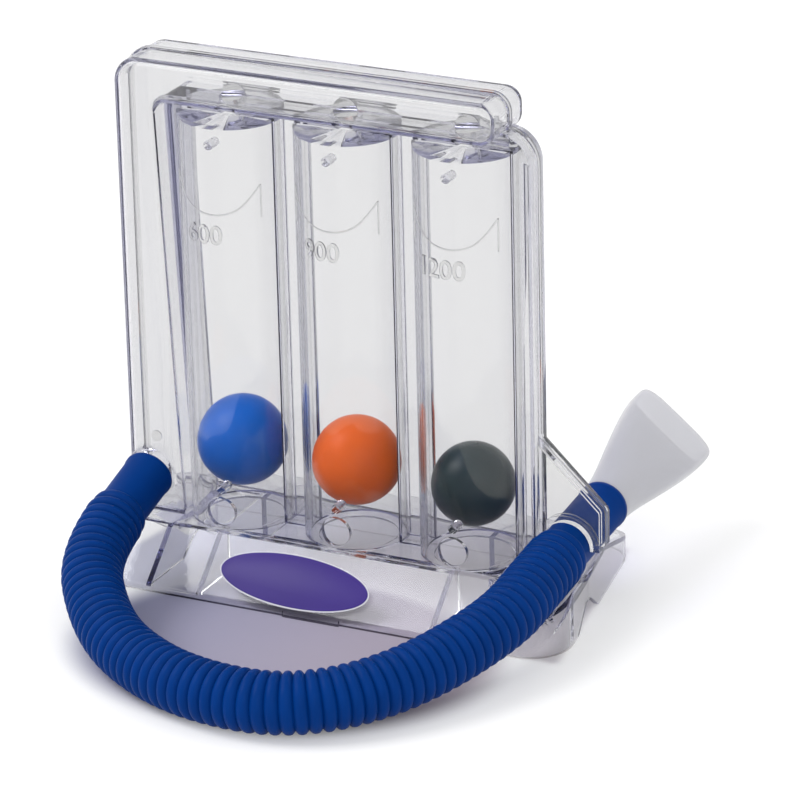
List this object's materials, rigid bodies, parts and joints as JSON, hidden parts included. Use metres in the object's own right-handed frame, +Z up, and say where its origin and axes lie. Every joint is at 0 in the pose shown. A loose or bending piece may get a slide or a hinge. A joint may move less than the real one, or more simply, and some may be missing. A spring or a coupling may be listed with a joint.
{
  "type": "incentive spirometer",
  "caption": "Clear plastic breathing exerciser with coloured balls in upright chambers, a splayed base, a corrugated hose and a flared pull-off mouthpiece held in a side clip.",
  "frame": {"origin": "middle of the body's footprint on the table, without the hose and mouthpiece", "axes": "+X along the row of chambers from the duct towards the clip, +Y from front to back, +Z up"},
  "size_m": [0.1458, 0.1784, 0.1468],
  "materials": {
    "clear_body": "clear, polished, with a lavender-grey tint in thick places",
    "blue_ball": "semi-gloss",
    "orange_ball": "semi-gloss",
    "dark_ball": "semi-gloss",
    "hose_blue": "satin, soft",
    "milky_plastic": "milky, see-through",
    "label_purple": "printed film, plain"
  },
  "bodies": {
    "housing": {"front_shell": "clear_body", "back_shell": "clear_body", "hose": "hose_blue", "nozzle_cuff": "hose_blue", "mouth_cuff": "hose_blue", "label": "label_purple"},
    "blue_ball": {"blue_ball": "blue_ball"},
    "orange_ball": {"orange_ball": "orange_ball"},
    "dark_ball": {"dark_ball": "dark_ball"},
    "mouthpiece": {"mouthpiece": "milky_plastic"}
  },
  "joints": [
    {"name": "blue_ball_rise", "type": "slide", "parent": "housing", "child": "blue_ball", "axis": [0, 0, 1], "range_m": [0, 0.07959]},
    {"name": "orange_ball_rise", "type": "slide", "parent": "housing", "child": "orange_ball", "axis": [0, 0, 1], "range_m": [0, 0.0805]},
    {"name": "dark_ball_rise", "type": "slide", "parent": "housing", "child": "dark_ball", "axis": [0, 0, 1], "range_m": [0, 0.08307]},
    {"name": "mouthpiece_pull", "type": "slide", "parent": "housing", "child": "mouthpiece", "axis": [0, 0.994, 0.1097], "range_m": [0, 0.012]}
  ]
}
